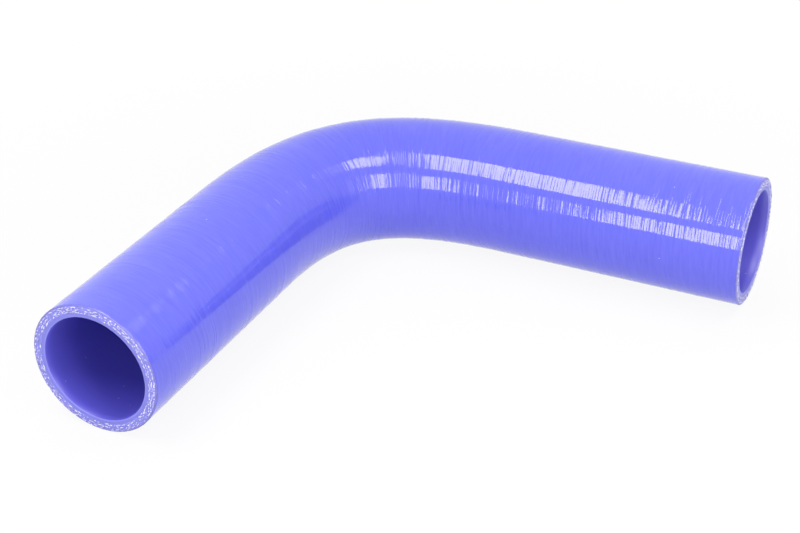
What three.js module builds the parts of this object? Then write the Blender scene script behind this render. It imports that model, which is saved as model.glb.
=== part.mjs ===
// A right-angle silicone coolant hose coupler, lying on its side.
//
// The real one is laid up from plies of silicone-coated fabric on a bent steel mandrel, wrapped in tape,
// cured, slid off and cut square at both ends, so it is a single piece: one open tube with a constant wall.
// It is made here in the same order: a straight wall is turned as a revolve, then bent along the mandrel's
// line. Units are millimetres and +Z is up. The origin is on the surface that the hose lies on, in the
// middle of the hose's outline seen from above. Leg A points along -Y and leg B along +X.

import * as THREE from "three";
import { mergeVertices } from "three/addons/utils/BufferGeometryUtils.js";

// Driving dimensions
const BORE_DIAMETER = 45; // fits a pipe stub of this diameter
const WALL = 5.4; // inner liner, reinforcing plies and outer skin together
const LEG_A_LENGTH = 200; // from the cut face to where the two legs' axes meet
const LEG_B_LENGTH = 200;
const BEND_SETBACK_A = 89; // from that corner back to where leg A stops being straight
const BEND_SETBACK_B = 89;
const BEND_FULLNESS = 0.72; // 0.55 is a round arc; more eases the ends of the bend and tightens its middle
const INNER_EDGE_BREAK = 0.3; // the knife and the finishing belt leave each cut edge slightly dulled
const OUTER_EDGE_BREAK = 0.5;

// Fineness of the facets
const SIDES = 64; // round the hose
const BEND_STEPS = 30; // along each wall of the bend

// The hose as it is sold: violet-blue, with the gloss that the smooth side of the tape leaves
const SILICONE_BLUE = new THREE.Color(0.2, 0.19, 0.9);
const SILICONE_ROUGHNESS = 0.3;

const boreRadius = BORE_DIAMETER / 2;
const outerRadius = boreRadius + WALL;

// The mandrel's line, flat at the height of the bore's centre, from the cut face of leg A to that of leg B
function mandrelLine() {
  const alongA = new THREE.Vector3(0, -1, 0);
  const alongB = new THREE.Vector3(1, 0, 0);
  const corner = new THREE.Vector3(
    (outerRadius - LEG_B_LENGTH) / 2,
    (LEG_A_LENGTH - outerRadius) / 2,
    outerRadius,
  );
  const at = (direction, distance) => corner.clone().addScaledVector(direction, distance);
  const startA = at(alongA, BEND_SETBACK_A);
  const startB = at(alongB, BEND_SETBACK_B);
  const bend = new THREE.CubicBezierCurve3(
    startA,
    at(alongA, BEND_SETBACK_A * (1 - BEND_FULLNESS)),
    at(alongB, BEND_SETBACK_B * (1 - BEND_FULLNESS)),
    startB,
  );
  return {
    legA: new THREE.LineCurve3(at(alongA, LEG_A_LENGTH), startA),
    bend,
    legB: new THREE.LineCurve3(startB, at(alongB, LEG_B_LENGTH)),
  };
}

// The point and direction of the mandrel's line at a distance along it from leg A's cut face
function follow(line, distance) {
  for (const stretch of [line.legA, line.bend, line.legB]) {
    const length = stretch.getLength();
    if (distance <= length || stretch === line.legB) {
      const share = THREE.MathUtils.clamp(distance / length, 0, 1);
      return { point: stretch.getPointAt(share), direction: stretch.getTangentAt(share) };
    }
    distance -= length;
  }
}

// The wall's profile on a straight mandrel: radius across, distance along. It runs up the outside from
// leg A's cut face to leg B's and comes back down the bore, with close steps only where the wall will bend.
function wallProfile(line) {
  const bendStart = line.legA.getLength();
  const bendLength = line.bend.getLength();
  const end = bendStart + bendLength + line.legB.getLength();
  const bendPlaces = Array.from(
    { length: BEND_STEPS + 1 },
    (_, step) => bendStart + (bendLength * step) / BEND_STEPS,
  );
  const places = [
    [boreRadius + INNER_EDGE_BREAK, 0],
    [outerRadius - OUTER_EDGE_BREAK, 0],
    [outerRadius, OUTER_EDGE_BREAK],
    ...bendPlaces.map((along) => [outerRadius, along]),
    [outerRadius, end - OUTER_EDGE_BREAK],
    [outerRadius - OUTER_EDGE_BREAK, end],
    [boreRadius + INNER_EDGE_BREAK, end],
    [boreRadius, end - INNER_EDGE_BREAK],
    ...bendPlaces.toReversed().map((along) => [boreRadius, along]),
    [boreRadius, INNER_EDGE_BREAK],
    [boreRadius + INNER_EDGE_BREAK, 0],
  ];
  return places.map(([radius, along]) => new THREE.Vector2(radius, along));
}

// Bends a straight wall, which stands along +Y, onto the mandrel's line
function bendOnto(geometry, line) {
  const up = new THREE.Vector3(0, 0, 1);
  const position = geometry.getAttribute("position");
  const places = new Map();
  for (let i = 0; i < position.count; i++) {
    const along = position.getY(i);
    if (!places.has(along)) places.set(along, follow(line, along));
    const { point, direction } = places.get(along);
    const sideways = new THREE.Vector3().crossVectors(direction, up);
    const bent = point
      .clone()
      .addScaledVector(sideways, position.getX(i))
      .addScaledVector(up, position.getZ(i));
    position.setXYZ(i, bent.x, bent.y, bent.z);
  }
  return geometry;
}

// The hose wall, with the revolve's seam welded shut
function elbowHose() {
  const line = mandrelLine();
  const revolve = new THREE.LatheGeometry(wallProfile(line), SIDES);
  revolve.deleteAttribute("normal");
  revolve.deleteAttribute("uv");
  const bent = mergeVertices(bendOnto(revolve, line), 1e-4);
  bent.computeVertexNormals();
  const silicone = new THREE.MeshStandardMaterial({
    color: SILICONE_BLUE,
    roughness: SILICONE_ROUGHNESS,
    metalness: 0,
  });
  const hose = new THREE.Mesh(bent, silicone);
  hose.name = "elbow_hose";
  return hose;
}

const coupler = new THREE.Group();
coupler.name = "coolant_hose_coupler";
coupler.add(elbowHose());

export default coupler;
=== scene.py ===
"""A right-angle silicone coolant hose coupler, lying on a white surface.

All lengths are metres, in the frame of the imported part: +Z up, leg A along -Y and leg B along +X.
"""

from math import pi, radians

import bpy
from mathutils import Matrix, Vector


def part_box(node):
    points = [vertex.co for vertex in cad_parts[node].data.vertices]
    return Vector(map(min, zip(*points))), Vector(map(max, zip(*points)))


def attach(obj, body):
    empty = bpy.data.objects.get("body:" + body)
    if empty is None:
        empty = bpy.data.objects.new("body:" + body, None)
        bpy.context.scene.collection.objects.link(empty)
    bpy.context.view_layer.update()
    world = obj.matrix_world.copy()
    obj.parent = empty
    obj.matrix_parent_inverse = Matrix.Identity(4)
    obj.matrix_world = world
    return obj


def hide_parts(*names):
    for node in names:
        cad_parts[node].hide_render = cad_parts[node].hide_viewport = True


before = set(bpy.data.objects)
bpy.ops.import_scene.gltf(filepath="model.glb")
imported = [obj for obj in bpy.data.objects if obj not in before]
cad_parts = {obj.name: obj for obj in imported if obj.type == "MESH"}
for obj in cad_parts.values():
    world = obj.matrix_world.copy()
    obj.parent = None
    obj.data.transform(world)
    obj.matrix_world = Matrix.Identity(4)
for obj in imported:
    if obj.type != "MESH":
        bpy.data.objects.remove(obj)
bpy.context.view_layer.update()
scene = bpy.context.scene
scene.view_settings.view_transform = "Standard"

# The camera: a short telephoto on a tripod about 0.65 m away, looking down at the middle of the elbow and
# turned half a degree off level, as a tripod head set by hand is.
CAMERA_PLACE = Vector((0.2310, -0.5016, 0.3570))
CAMERA_AIM = Vector((-0.0147, 0.0037, 0.0279))
CAMERA_ROLL = -0.0103  # radians; a minus turns the camera clockwise
CAMERA_LENS = 70.1  # mm
SENSOR_WIDTH = 36  # mm
NEAREST_SEEN = 0.01


def looking(place, aim, roll):
    """Where a camera or a lamp stands and how it is turned, to look at a point."""
    turn = (aim - place).to_track_quat("-Z", "Y").to_matrix().to_4x4()
    return Matrix.Translation(place) @ turn @ Matrix.Rotation(roll, 4, "Z")


camera_data = bpy.data.cameras.new("camera")
camera_data.lens = CAMERA_LENS
camera_data.sensor_width = SENSOR_WIDTH
camera_data.clip_start = NEAREST_SEEN
camera = bpy.data.objects.new("camera", camera_data)
camera.matrix_world = looking(CAMERA_PLACE, CAMERA_AIM, CAMERA_ROLL)
scene.collection.objects.link(camera)
scene.camera = camera

# The hose wall: silicone-coated fabric plies laid up on a bent steel mandrel, wrapped tightly in tape,
# cured, slid off and cut square. The tape's edges leave fine rings round the glossy outer skin, and the
# mandrel leaves the bore smooth.
hose_low, hose_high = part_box("elbow_hose")
OUTER_RADIUS = (hose_high[2] - hose_low[2]) / 2
WALL = 0.0054
BORE_RADIUS = OUTER_RADIUS - WALL
LINER_SHARE = 0.32  # of the wall, from the bore out to the first ply
FIRST_PLY = BORE_RADIUS + WALL * LINER_SHARE
LEG_A = hose_high[1] - hose_low[1] - OUTER_RADIUS  # from the cut face to where the legs' axes meet
LEG_B = hose_high[0] - hose_low[0] - OUTER_RADIUS
CORNER = Vector((hose_low[0] + OUTER_RADIUS, hose_high[1] - OUTER_RADIUS, OUTER_RADIUS))
BEND_SETBACK = 0.089  # from that corner back to where each leg stops being straight
BEND_FULLNESS = 0.72  # 0.55 is a round arc; more eases the ends of the bend and tightens its middle
LINE_STEPS = 96  # along each of the three stretches of the mandrel's line
OUTER_EDGE_BREAK = 0.0005  # the knife and the finishing belt leave each cut edge slightly dulled
INNER_EDGE_BREAK = 0.0003

SIDES = 48  # round the hose
SKIN_RINGS = 1850  # rings of points along the outside, 0.2 mm apart, to carry the marks of the tape
BORE_RINGS = 100
FACE_RINGS = 10
TOLERANCE = 1e-6  # within which a point lies on the skin
WELD = 1e-5  # points closer than this become one

TAPE_PITCH = 0.0031  # from one turn's edge to the next
TAPE_LEAN = 0.08  # how far the turns lean, as a slope
LEAN_STARTS = 0.002  # from a cut face, which has to stay square
LEAN_WHOLE = 0.030  # from there on, the turns lean by all of it
RING_RELIEF = 0.00016  # the height of a mark whose relief is 1
RING_SEED = 11.0
TAPE_NOISE = {  # each mark's pitch, how fast it changes round the hose, and what it adds to the seed
    "swells": (0.016, 0.12, 0.0),
    "ridges": (0.0016, 0.04, 1.0),
    "grooves": (0.0024, 0.04, 2.0),
    "edge wander": (0.011, 0.05, 3.0),
    "strands": (0.0036, 0.03, 4.0),
    "strand depth": (0.0045, 0.05, 5.0),
}
EDGE_WANDER = 1.5  # how many turns the tape's edges stray, for a noise of 1
EDGE_STARTS = 0.84  # the share of half a turn at which its raised edge starts
STRANDS_PER_NOISE = 8.0  # flat strands, each a step above or below the next
RELIEF_SHARES = {"swells": 0.3, "ridges": 0.08, "grooves": 0.06, "edges": 0.14, "strands": 0.50}

SKIN_BLUE = (0.106, 0.118, 0.740, 1)
# The deep blue is both random darker tone and painted shade in the tape's grooves
SKIN_BLUE_DEEP_AND_GROOVE_SHADE = (0.066, 0.072, 0.690, 1)
SKIN_BLUE_PALE = (0.172, 0.192, 0.880, 1)
# The bore's liner is painted darker than on the cut faces, as shade inside the bore
BORE_SHADE_BLUE = (0.112, 0.105, 0.630, 1)
LINER_BLUE = (0.195, 0.205, 0.770, 1)
# A painted highlight along the liner's edge at the bore
LIP_HIGHLIGHT_BLUE = (0.238, 0.250, 0.830, 1)
PLY_BLUE = (0.240, 0.248, 0.840, 1)
# Grey spots of painted shade in the gaps among the yarns
PLY_GAP_SHADE_GREY = (0.150, 0.155, 0.430, 1)
PLY_WHITE = (0.420, 0.430, 0.850, 1)
# Painted shade in a ragged band along the outer edge of the cut faces
EDGE_SHADE_GREY = (0.155, 0.155, 0.460, 1)
DUST = (0.45, 0.47, 0.90, 1)

# Each pair of radii is where a part of the material starts and where it is whole
FACE_RADII = (BORE_RADIUS + 0.00002, BORE_RADIUS + 0.00010)
# where the painted highlight at the bore's edge gives way to the liner
LIP_HIGHLIGHT_RADII = (BORE_RADIUS + 0.0004, BORE_RADIUS + 0.0007)
PLY_RADII = (FIRST_PLY - 0.0002, FIRST_PLY + 0.0001)
# where the painted shade along the outer edge starts and where it is whole
EDGE_SHADE_RADII = (OUTER_RADIUS - 0.0007, OUTER_RADIUS - 0.0005)
SKIN_RADII = (OUTER_RADIUS - 0.0003, OUTER_RADIUS - 0.0001)

SKIN_NOISE = {  # the same for the skin's tones and its finest lines, but with a whole seed for each
    "broad": (0.020, 0.5, 3.0),
    "fine": (0.0010, 0.12, 7.0),
    "thread wander": (0.007, 0.10, 9.0),
}
# The grooves' share paints shade into the skin along the tape's grooves; the broad and fine shares are
# random tone
TONE_SHARES = {"broad": 0.6, "grooves": 0.6, "fine": 1.4}
TONE_STRENGTH = 0.20  # of those tones in the skin's colour
THREAD_PITCH = 0.0012  # of the tape's own weave
THREAD_WANDER = 3.0  # how many threads they stray, for a noise of 1
THREAD_STARTS = 0.78  # the share of half a thread at which its line starts
FUZZ_THROUGH = 0.00045  # the size of the torn fibres on the cut faces, through the plies
FUZZ_ALONG = 0.0018
FUZZ_DEPTH = 5.0  # against the skin's lines
DUST_PITCH = 0.0055
DUST_FREE_CUT = 0.30  # the share of the surface's cells without a speck, in the bore and on the cut faces
DUST_FREE_SKIN = 0.94
SKIN_ROUGHNESS = (0.04, 0.09)
CUT_ROUGHNESS = 0.42  # of the bore too
SILICONE_IOR = 1.65
BUMP_DEPTH = 0.00003


def put(tree, kind, settings=None, **inputs):
    """Adds a node. Each input is a socket to link from or a value.

    In an input's name _ stands for a space, and i with a number is the input at that place.
    """
    node = tree.nodes.new(kind)
    for name, value in (settings or {}).items():
        setattr(node, name, value)
    for name, value in inputs.items():
        key = name.replace("_", " ").strip()
        socket = node.inputs[int(key[1:])] if key[0] == "i" and key[1:].isdigit() else node.inputs[key]
        if isinstance(value, bpy.types.NodeSocket):
            tree.links.new(value, socket)
        else:
            socket.default_value = value
    return node


def maths(tree, operation, first, second=0.0, third=0.0):
    """One sum on single numbers."""
    return put(tree, "ShaderNodeMath", {"operation": operation}, i0=first, i1=second, i2=third).outputs[0]


def point(tree, x=0.0, y=0.0, z=0.0):
    """A point or a direction, from its three numbers."""
    return put(tree, "ShaderNodeCombineXYZ", X=x, Y=y, Z=z).outputs[0]


def blended(tree, share, first, second):
    """A colour between two colours."""
    return put(tree, "ShaderNodeMix", {"data_type": "RGBA"}, i0=share, i6=first, i7=second).outputs[2]


def ranged(tree, value, low, high, to_low=0.0, to_high=1.0):
    """Value taken from one range to another, and held inside it."""
    return put(
        tree, "ShaderNodeMapRange",
        Value=value, From_Min=low, From_Max=high, To_Min=to_low, To_Max=to_high,
    ).outputs["Result"]


def new_shape_tree(name, inputs):
    """A Geometry Nodes tree with named inputs, and its two end nodes."""
    tree = bpy.data.node_groups.new(name, "GeometryNodeTree")
    tree.interface.new_socket("Geometry", in_out="INPUT", socket_type="NodeSocketGeometry")
    tree.interface.new_socket("Geometry", in_out="OUTPUT", socket_type="NodeSocketGeometry")
    for label, kind in inputs.items():
        tree.interface.new_socket(label, in_out="INPUT", socket_type=kind)
    return tree, tree.nodes.new("NodeGroupInput"), tree.nodes.new("NodeGroupOutput")


def grown(name, base, tree, values, material):
    """Runs a tree on a base object and keeps the result as a plain mesh of its own."""
    scene.collection.objects.link(base)
    modifier = base.modifiers.new("shape", "NODES")
    modifier.node_group = tree
    for item in tree.interface.items_tree:
        if item.in_out == "INPUT" and item.name in values:
            modifier[item.identifier] = values[item.name]
    bpy.context.view_layer.update()
    evaluated = base.evaluated_get(bpy.context.evaluated_depsgraph_get())
    mesh = bpy.data.meshes.new_from_object(evaluated)
    mesh.name = name
    mesh.materials.clear()
    mesh.materials.append(material)
    base.modifiers.remove(modifier)
    bpy.data.objects.remove(base)
    piece = bpy.data.objects.new(name, mesh)
    scene.collection.objects.link(piece)
    return piece


def mandrel():
    """The mandrel's line as a curve: straight, an eased right-angle bend, straight."""
    ahead_a = Vector((0, -1, 0))
    ahead_b = Vector((1, 0, 0))
    end_a = CORNER + ahead_a * LEG_A
    end_b = CORNER + ahead_b * LEG_B
    start_a = CORNER + ahead_a * BEND_SETBACK
    start_b = CORNER + ahead_b * BEND_SETBACK
    pull = BEND_SETBACK * (1 - BEND_FULLNESS)
    data = bpy.data.curves.new("mandrel_line", "CURVE")
    data.dimensions = "3D"
    data.resolution_u = LINE_STEPS
    spline = data.splines.new("BEZIER")
    spline.bezier_points.add(3)
    stops = (
        (end_a, end_a, end_a.lerp(start_a, 1 / 3)),
        (start_a, end_a.lerp(start_a, 2 / 3), CORNER + ahead_a * pull),
        (start_b, CORNER + ahead_b * pull, start_b.lerp(end_b, 1 / 3)),
        (end_b, start_b.lerp(end_b, 2 / 3), end_b),
    )
    for knot, (place, handle_in, handle_out) in zip(spline.bezier_points, stops):
        knot.handle_left_type = knot.handle_right_type = "FREE"
        knot.co, knot.handle_left, knot.handle_right = place, handle_in, handle_out
    return bpy.data.objects.new("mandrel_line", data)


def ring_noise(tree, place, pitch, seed, around):
    """Noise that changes along the hose and hardly round it, in rings of about that pitch."""
    stretched = put(
        tree, "ShaderNodeVectorMath", {"operation": "MULTIPLY"}, i0=place, i1=(1, around, around),
    ).outputs[0]
    noise = put(
        tree, "ShaderNodeTexNoise", {"noise_dimensions": "4D"},
        Vector=stretched, W=seed, Scale=1 / pitch, Detail=1.0, Roughness=0.5,
    ).outputs[0]
    return maths(tree, "SUBTRACT", noise, 0.5)


def crests(tree, turns, start):
    """A crest once in every turn, which starts at that share of half a turn and rises to the middle."""
    return ranged(tree, maths(tree, "PINGPONG", maths(tree, "MULTIPLY", turns, 2.0), 1.0), start, 1.0)


def joined_in_order(tree, first, second):
    """Both geometries in one, the first's points before the second's."""
    join = tree.nodes.new("GeometryNodeJoinGeometry")
    tree.links.new(second, join.inputs[0])
    tree.links.new(first, join.inputs[0])
    return join.outputs[0]


def wall_section(tree, size, length):
    """The wall's section as a row of points: up the outside, across end B, down the bore, across end A."""

    def row(start_radius, start_along, end_radius, end_along, count):
        return put(
            tree, "GeometryNodeMeshLine", {"mode": "END_POINTS"}, Count=count,
            Start_Location=point(tree, start_radius, start_along), Offset=point(tree, end_radius, end_along),
        ).outputs[0]

    outer = size["Outer radius"]
    bore = size["Bore radius"]
    outer_break = size["Outer edge break"]
    inner_break = size["Inner edge break"]
    face_outer = maths(tree, "SUBTRACT", outer, outer_break)
    face_inner = maths(tree, "ADD", bore, inner_break)
    skin_end = maths(tree, "SUBTRACT", length, outer_break)
    bore_end = maths(tree, "SUBTRACT", length, inner_break)
    section = row(outer, outer_break, outer, skin_end, size["Skin rings"])
    section = joined_in_order(tree, section, row(face_outer, length, face_inner, length, size["Face rings"]))
    section = joined_in_order(tree, section, row(bore, bore_end, bore, inner_break, size["Bore rings"]))
    return joined_in_order(tree, section, row(face_inner, 0.0, face_outer, 0.0, size["Face rings"]))


def tape_relief(tree, size, along, across, upward):
    """How high the skin stands in the marks that the tape leaves, from about 0 to 1."""
    on_tape = point(tree, along, across, upward)
    noise = {
        mark: ring_noise(tree, on_tape, pitch, maths(tree, "ADD", size["Seed"], number), around)
        for mark, (pitch, around, number) in TAPE_NOISE.items()
    }
    turns = maths(tree, "DIVIDE", along, size["Tape pitch"])
    turns = maths(tree, "MULTIPLY_ADD", noise["edge wander"], EDGE_WANDER, turns)
    strands = maths(tree, "MULTIPLY_ADD", noise["strands"], STRANDS_PER_NOISE, 50.0)  # above 0 everywhere
    strands = maths(tree, "MODULO", maths(tree, "FLOOR", strands), 2.0)
    strand_depth = ranged(tree, noise["strand depth"], -0.10, 0.16, 0.20, 1.0)

    # A noise runs from -0.5 to 0.5, and its range keeps only the peaks, or levels all but the hollows
    heights = {
        "swells": noise["swells"],
        "ridges": ranged(tree, noise["ridges"], 0.12, 0.24),
        "grooves": ranged(tree, noise["grooves"], -0.24, -0.13),
        "edges": crests(tree, turns, EDGE_STARTS),
        "strands": maths(tree, "MULTIPLY", strands, strand_depth),
    }
    relief = 0.0
    for mark, share in RELIEF_SHARES.items():
        relief = maths(tree, "MULTIPLY_ADD", heights[mark], share, relief)
    return relief


def hose_tree(material):
    """Turns the wall straight, with the tape's rings in its skin, and bends it onto the mandrel's line."""
    tree, given, out = new_shape_tree("hose wall", {
        "Outer radius": "NodeSocketFloat", "Bore radius": "NodeSocketFloat",
        "Outer edge break": "NodeSocketFloat", "Inner edge break": "NodeSocketFloat",
        "Sides": "NodeSocketInt", "Skin rings": "NodeSocketInt", "Bore rings": "NodeSocketInt",
        "Face rings": "NodeSocketInt", "Tape pitch": "NodeSocketFloat", "Tape lean": "NodeSocketFloat",
        "Ring relief": "NodeSocketFloat", "Seed": "NodeSocketFloat",
    })
    size = given.outputs
    line = size["Geometry"]
    length = put(tree, "GeometryNodeCurveLength", Curve=line).outputs[0]
    section = wall_section(tree, size, length)

    # A grid is rolled up: each row is one point of the section, taken all the way round the hose
    total = put(tree, "GeometryNodeAttributeDomainSize", Geometry=section).outputs["Point Count"]
    columns = maths(tree, "ADD", size["Sides"], 1)
    grid = put(
        tree, "GeometryNodeMeshGrid",
        Size_X=1.0, Size_Y=1.0, Vertices_X=maths(tree, "ADD", total, 1), Vertices_Y=columns,
    ).outputs[0]
    index = put(tree, "GeometryNodeInputIndex").outputs[0]
    ring = maths(tree, "FLOOR", maths(tree, "DIVIDE", maths(tree, "ADD", index, 0.5), columns))
    column = maths(tree, "SUBTRACT", index, maths(tree, "MULTIPLY", ring, columns))
    angle = maths(tree, "DIVIDE", maths(tree, "MULTIPLY", column, 2 * pi), size["Sides"])
    on_section = put(
        tree, "GeometryNodeSampleIndex", {"data_type": "FLOAT_VECTOR", "domain": "POINT"},
        Geometry=section, Value=put(tree, "GeometryNodeInputPosition").outputs[0],
        Index=maths(tree, "MODULO", ring, total),
    ).outputs[0]
    radius, along, _ = put(tree, "ShaderNodeSeparateXYZ", Vector=on_section).outputs
    across = maths(tree, "MULTIPLY", radius, maths(tree, "COSINE", angle))
    upward = maths(tree, "MULTIPLY", radius, maths(tree, "SINE", angle))

    # The skin is raised by the tape's marks
    relief = tape_relief(tree, size, along, across, upward)
    on_skin = maths(tree, "GREATER_THAN", radius, maths(tree, "SUBTRACT", size["Outer radius"], TOLERANCE))
    raised = maths(tree, "MULTIPLY", maths(tree, "MULTIPLY", relief, size["Ring relief"]), on_skin)
    share_out = maths(tree, "DIVIDE", maths(tree, "ADD", radius, raised), radius)

    # The rings lean with the tape, and each point goes to its place beside the mandrel's line
    to_end = maths(tree, "MINIMUM", along, maths(tree, "SUBTRACT", length, along))
    lean = maths(tree, "MULTIPLY", size["Tape lean"], ranged(tree, to_end, LEAN_STARTS, LEAN_WHOLE))
    along = maths(tree, "SUBTRACT", along, maths(tree, "MULTIPLY", lean, upward))
    on_mandrel = point(tree, along, across, upward)
    on_line = put(tree, "GeometryNodeSampleCurve", {"mode": "LENGTH"}, Curves=line, Length=along)
    sideways = put(
        tree, "ShaderNodeVectorMath", {"operation": "CROSS_PRODUCT"},
        i0=on_line.outputs["Tangent"], i1=(0, 0, 1),
    ).outputs[0]
    step_side = put(
        tree, "ShaderNodeVectorMath", {"operation": "SCALE"},
        i0=sideways, Scale=maths(tree, "MULTIPLY", across, share_out),
    ).outputs[0]
    step_up = point(tree, z=maths(tree, "MULTIPLY", upward, share_out))
    step = put(tree, "ShaderNodeVectorMath", {"operation": "ADD"}, i0=step_side, i1=step_up).outputs[0]
    bent = put(
        tree, "ShaderNodeVectorMath", {"operation": "ADD"}, i0=on_line.outputs["Position"], i1=step,
    ).outputs[0]

    kept = put(
        tree, "GeometryNodeStoreNamedAttribute", {"data_type": "FLOAT_VECTOR", "domain": "POINT"},
        Geometry=grid, Name="on_mandrel", Value=on_mandrel,
    ).outputs[0]
    moved = put(tree, "GeometryNodeSetPosition", Geometry=kept, Position=bent).outputs[0]
    welded = put(tree, "GeometryNodeMergeByDistance", Geometry=moved, Distance=WELD).outputs[0]
    smooth = put(tree, "GeometryNodeSetShadeSmooth", Geometry=welded).outputs[0]
    whole = put(tree, "GeometryNodeRealizeInstances", Geometry=smooth).outputs[0]
    coated = put(tree, "GeometryNodeSetMaterial", Geometry=whole, Material=material).outputs[0]
    tree.links.new(coated, out.inputs[0])
    return tree


def silicone_material():
    """Glossy violet-blue silicone: the ringed skin, the smooth bore and the plies at the cut faces."""
    material = bpy.data.materials.new("silicone")
    material.use_nodes = True
    tree = material.node_tree
    shader = tree.nodes["Principled BSDF"]
    place = put(tree, "ShaderNodeAttribute", {"attribute_name": "on_mandrel"}).outputs["Vector"]
    along, across, upward = put(tree, "ShaderNodeSeparateXYZ", Vector=place).outputs
    radius = put(
        tree, "ShaderNodeVectorMath", {"operation": "LENGTH"}, i0=point(tree, y=across, z=upward),
    ).outputs["Value"]
    on_face = ranged(tree, radius, *FACE_RADII)
    in_plies = ranged(tree, radius, *PLY_RADII)
    on_skin = ranged(tree, radius, *SKIN_RADII)

    # The skin's tones follow the tape's rings: random lighter and darker tones, with painted shade along the
    # tape's grooves, drawn from the same noise that sinks the grooves into the skin
    along_tape = maths(tree, "MULTIPLY_ADD", upward, TAPE_LEAN, along)
    on_tape = point(tree, along_tape, across, upward)
    pitch, around, number = TAPE_NOISE["grooves"]
    grooves = ring_noise(tree, on_tape, pitch, RING_SEED + number, around)
    broad, fine, thread_wander = (
        ring_noise(tree, on_tape, pitch, seed, around) for pitch, around, seed in SKIN_NOISE.values()
    )
    narrow_tone_and_groove_shade = maths(tree, "MULTIPLY_ADD", grooves, TONE_SHARES["grooves"],
                        maths(tree, "MULTIPLY", fine, TONE_SHARES["fine"]))
    tone_and_groove_shade = maths(tree, "ADD", maths(tree, "MULTIPLY_ADD", broad, TONE_SHARES["broad"], 0.5), narrow_tone_and_groove_shade)
    skin = blended(tree, ranged(tree, tone_and_groove_shade, 0.1, 0.9), SKIN_BLUE_DEEP_AND_GROOVE_SHADE, SKIN_BLUE_PALE)
    skin = blended(tree, TONE_STRENGTH, SKIN_BLUE, skin)

    # The cut faces: a plain liner with a painted highlight along its edge at the bore, torn fibres in the
    # plies with grey spots of painted shade among them, and a ragged band of painted shade along the outer
    # edge
    in_ply = point(
        tree,
        maths(tree, "DIVIDE", radius, FUZZ_THROUGH),
        maths(tree, "DIVIDE", across, FUZZ_ALONG),
        maths(tree, "DIVIDE", upward, FUZZ_ALONG),
    )
    fuzz = put(tree, "ShaderNodeTexNoise", Vector=in_ply, Scale=1.0, Detail=2.0, Roughness=0.6).outputs[0]
    # Grey spots of painted shade among the yarns, then white fibres
    ply = blended(tree, ranged(tree, fuzz, 0.30, 0.44), PLY_GAP_SHADE_GREY, PLY_BLUE)
    ply = blended(tree, ranged(tree, fuzz, 0.55, 0.68), ply, PLY_WHITE)
    # A painted highlight along the liner's edge at the bore, fading into the liner
    lip_highlight_and_liner = blended(tree, ranged(tree, radius, *LIP_HIGHLIGHT_RADII), LIP_HIGHLIGHT_BLUE, LINER_BLUE)
    cut = blended(tree, in_plies, lip_highlight_and_liner, ply)
    # A ragged band of painted shade along the outer edge of the cut faces
    edge_shade = maths(tree, "MULTIPLY", ranged(tree, radius, *EDGE_SHADE_RADII),
                    ranged(tree, fuzz, 0.34, 0.54, 0.25, 1.0))
    cut = blended(tree, edge_shade, cut, EDGE_SHADE_GREY)
    # Painted shade in the bore, the cut faces' own colours, and the skin's tones
    colour = blended(tree, on_skin, blended(tree, on_face, BORE_SHADE_BLUE, cut), skin)

    # Specks of dust, more of them on the matt bore and cut faces than on the glossy skin
    cells = put(tree, "ShaderNodeTexVoronoi", Vector=place, Scale=1 / DUST_PITCH).outputs
    draw = put(tree, "ShaderNodeSeparateColor", Color=cells["Color"]).outputs[0]
    dusty = maths(tree, "GREATER_THAN", draw, ranged(tree, on_skin, 0.0, 1.0, DUST_FREE_CUT, DUST_FREE_SKIN))
    speck = maths(tree, "MULTIPLY", ranged(tree, cells["Distance"], 0.040, 0.065, 0.6, 0.0), dusty)
    tree.links.new(blended(tree, speck, colour, DUST), shader.inputs["Base Color"])

    # The gloss
    skin_rough = ranged(tree, maths(tree, "ADD", grooves, broad), -0.4, 0.4, *SKIN_ROUGHNESS)
    rough = put(tree, "ShaderNodeMix", {"data_type": "FLOAT"}, i0=on_skin, i2=CUT_ROUGHNESS, i3=skin_rough)
    tree.links.new(rough.outputs[0], shader.inputs["Roughness"])
    shader.inputs["IOR"].default_value = SILICONE_IOR

    # The finest relief: lines from the tape's threads on the skin, and ragged plies on the cut faces
    threads = maths(tree, "DIVIDE", along_tape, THREAD_PITCH)
    threads = maths(tree, "MULTIPLY_ADD", thread_wander, THREAD_WANDER, threads)
    thread_lines = maths(tree, "MULTIPLY", crests(tree, threads, THREAD_STARTS),
                         ranged(tree, grooves, -0.10, 0.12, 0.35, 1.0))
    thread_lines = maths(tree, "MULTIPLY_ADD", ranged(tree, fine, 0.09, 0.22), 0.25, thread_lines)
    thread_lines = maths(tree, "MULTIPLY", thread_lines, on_skin)
    ragged = maths(tree, "MULTIPLY", maths(tree, "MULTIPLY", fuzz, FUZZ_DEPTH),
                   maths(tree, "SUBTRACT", 1.0, on_skin))
    height = maths(tree, "ADD", thread_lines, maths(tree, "MULTIPLY", ragged, in_plies))
    bump = put(tree, "ShaderNodeBump", Strength=1.0, Distance=BUMP_DEPTH, Height=height)
    tree.links.new(bump.outputs[0], shader.inputs["Normal"])
    return material


silicone = silicone_material()
hose = grown("hose_wall", mandrel(), hose_tree(silicone), {
    "Outer radius": OUTER_RADIUS, "Bore radius": BORE_RADIUS,
    "Outer edge break": OUTER_EDGE_BREAK, "Inner edge break": INNER_EDGE_BREAK,
    "Sides": SIDES, "Skin rings": SKIN_RINGS, "Bore rings": BORE_RINGS, "Face rings": FACE_RINGS,
    "Tape pitch": TAPE_PITCH, "Tape lean": TAPE_LEAN, "Ring relief": RING_RELIEF, "Seed": RING_SEED,
}, silicone)
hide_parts("elbow_hose")
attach(hose, "root")

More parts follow.
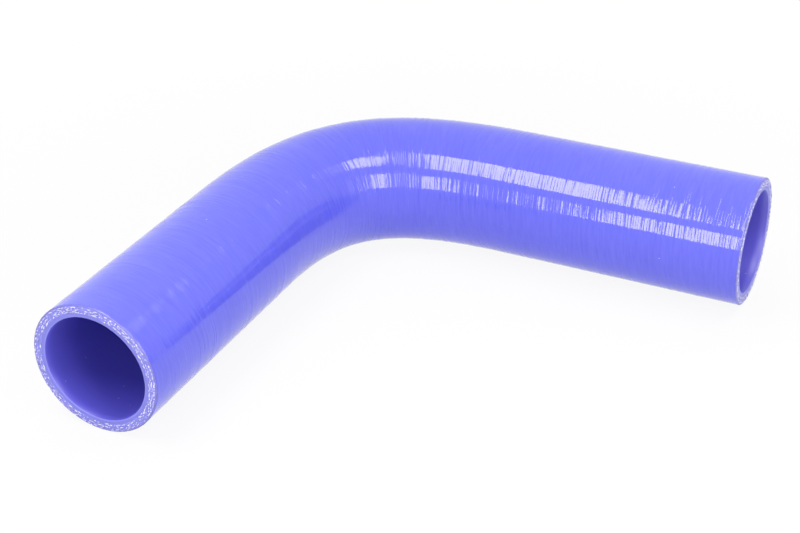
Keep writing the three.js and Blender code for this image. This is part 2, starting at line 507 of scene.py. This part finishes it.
# The yarn ends: where the knife went through the fabric plies, the polyester yarns show as white dots
# and dashes in rings between the liner and the skin. They are bonded into the silicone, and stand a
# little proud of it.
YARN_WHITE = (0.90, 0.91, 0.97, 1)
YARN_STAINED = (0.46, 0.48, 0.78, 1)
YARN_ROUGHNESS = 0.75
STAIN_PITCH = 0.0015
FIBRE_PITCH = 0.00012
FIBRE_DEPTH = 0.00005
SKIN_SHARE = 0.12  # of the wall, outside the last ply
PLIES = 3
YARNS_PER_PLY = 120
HALF_LENGTH = (0.00025, 0.00100)  # of a yarn's dash on the face, the shortest and the longest
HALF_WIDTH = (0.00012, 0.00028)
HALF_HEIGHT = (0.00012, 0.00022)
SHORT_ONES = 1.3  # above 1, short dashes are the more common
STANDS_OUT = (-0.00004, 0.00018)  # the dash's middle from the face
GAP_STRAY = 0.35  # how far a dash strays along its ring, as a share of the gap to the next
RING_STRAY = 0.00025  # and how far in or out
WEAVE_STEP = 0.00022  # in and out, from one yarn to the next
TURN_STRAY = 0.22  # radians
BUNCH_PITCH = 0.009  # from one bunch of yarns to the next
DASH_SIDES = 8
DASH_RINGS = 5


def yarn_material():
    """White polyester fibre, here and there stained by the silicone."""
    material = bpy.data.materials.new("yarn")
    material.use_nodes = True
    tree = material.node_tree
    shader = tree.nodes["Principled BSDF"]
    place = put(tree, "ShaderNodeTexCoord").outputs["Object"]
    stain = put(tree, "ShaderNodeTexNoise", Vector=place, Scale=1 / STAIN_PITCH, Detail=2.0).outputs[0]
    fibre = put(tree, "ShaderNodeTexNoise", Vector=place, Scale=1 / FIBRE_PITCH, Detail=1.0).outputs[0]
    colour = blended(tree, ranged(tree, stain, 0.42, 0.60), YARN_WHITE, YARN_STAINED)
    tree.links.new(colour, shader.inputs["Base Color"])
    shader.inputs["Roughness"].default_value = YARN_ROUGHNESS
    bump = put(tree, "ShaderNodeBump", Strength=0.6, Distance=FIBRE_DEPTH, Height=fibre)
    tree.links.new(bump.outputs[0], shader.inputs["Normal"])
    return material


def chance(tree, low, high, seed, number):
    """A random number for each yarn."""
    return put(
        tree, "FunctionNodeRandomValue", {"data_type": "FLOAT"},
        i2=low, i3=high, Seed=maths(tree, "ADD", seed, number),
    ).outputs[1]


def yarn_tree(material):
    """Rings of short cut yarns on a cut face, which lies at the origin and faces +Z, then set in place."""
    tree, given, out = new_shape_tree("yarn ends", {
        "Inner radius": "NodeSocketFloat", "Outer radius": "NodeSocketFloat",
        "Plies": "NodeSocketInt", "Yarns per ply": "NodeSocketInt", "Seed": "NodeSocketInt",
        "Place": "NodeSocketVector", "Turn": "NodeSocketVector",
    })
    size = given.outputs
    seed = size["Seed"]
    per_ply = size["Yarns per ply"]
    total = maths(tree, "MULTIPLY", size["Plies"], per_ply)
    points = put(tree, "GeometryNodePoints", Count=total).outputs[0]

    # Where each yarn comes out of the face
    index = put(tree, "GeometryNodeInputIndex").outputs[0]
    ply = maths(tree, "FLOOR", maths(tree, "DIVIDE", maths(tree, "ADD", index, 0.5), per_ply))
    slot = maths(tree, "SUBTRACT", index, maths(tree, "MULTIPLY", ply, per_ply))
    strayed = maths(tree, "ADD", slot, chance(tree, -GAP_STRAY, GAP_STRAY, seed, 1))
    angle = maths(tree, "MULTIPLY", maths(tree, "DIVIDE", strayed, per_ply), 2 * pi)
    depth = maths(tree, "SUBTRACT", size["Outer radius"], size["Inner radius"])
    level = maths(tree, "DIVIDE", maths(tree, "ADD", ply, 0.5), size["Plies"])
    side = maths(tree, "SUBTRACT", maths(tree, "MODULO", slot, 2.0), 0.5)
    weave = maths(tree, "MULTIPLY", side, WEAVE_STEP)
    loose = maths(tree, "ADD", weave, chance(tree, -RING_STRAY, RING_STRAY, seed, 2))
    radius = maths(tree, "ADD", maths(tree, "MULTIPLY_ADD", level, depth, size["Inner radius"]), loose)
    spot = point(
        tree,
        maths(tree, "MULTIPLY", radius, maths(tree, "COSINE", angle)),
        maths(tree, "MULTIPLY", radius, maths(tree, "SINE", angle)),
        chance(tree, *STANDS_OUT, seed, 3),
    )
    placed = put(tree, "GeometryNodeSetPosition", Geometry=points, Position=spot).outputs[0]

    # How each one lies and how big it is, with more of them in some stretches of a ring than in others
    off_ring = chance(tree, pi / 2 - TURN_STRAY, pi / 2 + TURN_STRAY, seed, 4)
    facing = put(
        tree, "FunctionNodeAxisAngleToRotation", Axis=(0, 0, 1), Angle=maths(tree, "ADD", angle, off_ring),
    ).outputs[0]
    long_one = maths(tree, "POWER", chance(tree, 0.0, 1.0, seed, 5), SHORT_ONES)
    shape = point(
        tree,
        ranged(tree, long_one, 0.0, 1.0, *HALF_LENGTH),
        chance(tree, *HALF_WIDTH, seed, 6),
        chance(tree, *HALF_HEIGHT, seed, 7),
    )
    bunched = put(tree, "ShaderNodeTexNoise", Vector=spot, Scale=1 / BUNCH_PITCH, Detail=1.0).outputs[0]
    density = ranged(tree, bunched, 0.35, 0.62, 0.45, 1.0)
    present = maths(tree, "LESS_THAN", chance(tree, 0.0, 1.0, seed, 8), density)

    dash = put(
        tree, "GeometryNodeMeshUVSphere", Segments=DASH_SIDES, Rings=DASH_RINGS, Radius=1.0,
    ).outputs[0]
    dashes = put(
        tree, "GeometryNodeInstanceOnPoints",
        Points=placed, Selection=present, Instance=dash, Rotation=facing, Scale=shape,
    ).outputs[0]
    whole = put(tree, "GeometryNodeRealizeInstances", Geometry=dashes).outputs[0]
    rotation = put(tree, "FunctionNodeEulerToRotation", Euler=size["Turn"]).outputs[0]
    in_place = put(
        tree, "GeometryNodeTransform", Geometry=whole, Translation=size["Place"], Rotation=rotation,
    ).outputs[0]
    smooth = put(tree, "GeometryNodeSetShadeSmooth", Geometry=in_place).outputs[0]
    coated = put(tree, "GeometryNodeSetMaterial", Geometry=smooth, Material=material).outputs[0]
    tree.links.new(coated, out.inputs[0])
    return tree


yarn = yarn_material()
yarns = yarn_tree(yarn)
ends = (
    ("yarn_ends_a", CORNER + Vector((0, -LEG_A, 0)), (pi / 2, 0, 0), 21),
    ("yarn_ends_b", CORNER + Vector((LEG_B, 0, 0)), (0, pi / 2, 0), 22),
)
for name, place, turn, seed in ends:
    base = bpy.data.objects.new(name + "_base", bpy.data.meshes.new(name + "_base"))
    piece = grown(name, base, yarns, {
        "Inner radius": FIRST_PLY, "Outer radius": OUTER_RADIUS - WALL * SKIN_SHARE,
        "Plies": PLIES, "Yarns per ply": YARNS_PER_PLY, "Seed": seed, "Place": place, "Turn": turn,
    }, yarn)
    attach(piece, "root")

# The bench: a wide sheet of matt white paper that the hose lies on. The camera and the gloss see it as
# nearly plain white, and close to the hose it takes a soft shadow.
PAPER_WHITE = (0.74, 0.74, 0.74, 1)
PLAIN_WHITE = (1, 1, 1, 1)
PAPER_LIFT = 0.91  # how much of the paper the camera sees as plain white, close to the hose
LIFT_START = 0.12  # from the hose's middle, where that starts to grow
LIFT_END = 0.32  # and where it is all of it
PAPER_REACH = 3.0


def background_ray(tree):
    """1 for what the camera, the gloss and glass see, and 0 for the light that falls on things."""
    ray = put(tree, "ShaderNodeLightPath").outputs
    direct = maths(tree, "MAXIMUM", ray["Is Camera Ray"], ray["Is Glossy Ray"])
    return maths(tree, "MAXIMUM", direct, ray["Is Transmission Ray"])


paper = bpy.data.materials.new("paper")
paper.use_nodes = True
tree = paper.node_tree
tree.nodes.remove(tree.nodes["Principled BSDF"])
matt = put(tree, "ShaderNodeBsdfDiffuse", Color=PAPER_WHITE).outputs[0]
plain = put(tree, "ShaderNodeEmission", Color=PLAIN_WHITE, Strength=1.0).outputs[0]
place = put(tree, "ShaderNodeTexCoord").outputs["Object"]
from_middle = put(tree, "ShaderNodeVectorMath", {"operation": "LENGTH"}, i0=place).outputs["Value"]
lift = ranged(tree, from_middle, LIFT_START, LIFT_END, PAPER_LIFT, 1.0)
share = maths(tree, "MULTIPLY", background_ray(tree), lift)
mixed = put(tree, "ShaderNodeMixShader", i0=share, i1=matt, i2=plain).outputs[0]
tree.links.new(mixed, tree.nodes["Material Output"].inputs["Surface"])
corners = [(x * PAPER_REACH, y * PAPER_REACH, 0) for x, y in ((-1, -1), (1, -1), (1, 1), (-1, 1))]
bench_mesh = bpy.data.meshes.new("bench")
bench_mesh.from_pydata(corners, [], [(0, 1, 2, 3)])
bench_mesh.materials.append(paper)
bench = bpy.data.objects.new("bench", bench_mesh)
scene.collection.objects.link(bench)

# The light: a pale room, lit most from the ceiling behind the hose, and two lit panels, one to each side
# of the camera. Each has an upper pane that faces down and a lower one that faces across, with a dark
# gap between, which gives the paired bands on leg B and on the bend.
ROOM_LEVEL = 0.04
CEILING_LEVEL = 1.60
CEILING_WAY = (-0.52, 0.52, 0.68)  # where the brightest part of the ceiling lies
CEILING_EDGE = 0.50  # the cosine of the angle from there at which its light ends
PANE_BRIGHTNESS = 7.2  # times white
PANE_COLOUR = (1.0, 0.95, 0.98)

world = bpy.data.worlds.new("room")
scene.world = world
world.use_nodes = True
tree = world.node_tree
background = tree.nodes["Background"]
background.inputs["Color"].default_value = PLAIN_WHITE
way = put(tree, "ShaderNodeTexCoord").outputs["Generated"]
facing = put(
    tree, "ShaderNodeVectorMath", {"operation": "DOT_PRODUCT"}, i0=way, i1=CEILING_WAY,
).outputs["Value"]
lit = ranged(tree, facing, CEILING_EDGE, 1.00, ROOM_LEVEL, CEILING_LEVEL)
tree.links.new(ranged(tree, background_ray(tree), 0.0, 1.0, lit, 1.0), background.inputs["Strength"])


def pane(name, place, aim, width, height, spin):
    """One lamp pane, facing a point and spun in its own plane."""
    data = bpy.data.lights.new(name, "AREA")
    data.shape = "RECTANGLE"
    data.size = width
    data.size_y = height
    data.energy = PANE_BRIGHTNESS * pi * width * height
    data.color = PANE_COLOUR
    lamp = bpy.data.objects.new(name, data)
    lamp.matrix_world = looking(Vector(place), Vector(aim), radians(spin))
    lamp.visible_camera = False
    scene.collection.objects.link(lamp)


# The place of each pane, the point that it faces, its width and height, and its spin in degrees
pane("left_upper", (-0.161, -0.246, 0.500), (-0.161, -0.246, 0.0), 0.216, 0.318, 3.0)
pane("left_lower", (-0.0316, -0.4433, 0.230), (0.0464, -0.0013, 0.230), 0.126, 0.236, 0.0)
pane("right_upper", (0.254, 0.026, 0.500), (0.254, 0.026, 0.0), 0.190, 0.300, -19.5)
pane("right_lower", (0.382, -0.227, 0.265), (-0.055, 0.025, 0.265), 0.208, 0.284, 0.0)
